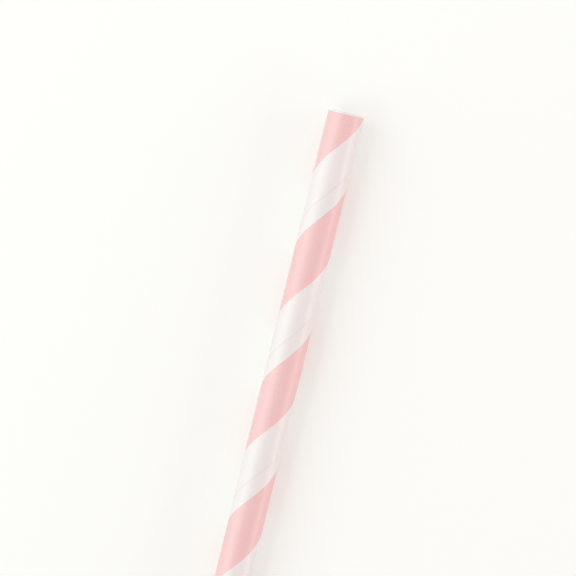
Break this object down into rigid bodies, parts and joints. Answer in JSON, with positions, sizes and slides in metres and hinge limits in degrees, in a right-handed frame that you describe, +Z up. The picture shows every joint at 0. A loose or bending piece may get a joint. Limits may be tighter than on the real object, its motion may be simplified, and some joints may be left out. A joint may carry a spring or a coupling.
{
  "type": "paper drinking straw",
  "caption": "Paper drinking straw: a slim open tube wound from strip, with a printed pink and white spiral stripe and square-cut ends.",
  "frame": {"origin": "on the surface that the straw lies on, under the middle of its length", "axes": "+Y along the straw's axis towards the drinking end, +Z up"},
  "size_m": [0.006, 0.197, 0.006],
  "materials": {
    "printed_paper": "matte uncoated white paper, printed with one pink spiral stripe as wide as the white left beside it"
  },
  "bodies": {
    "root": {"straw": "printed_paper"}
  },
  "joints": []
}
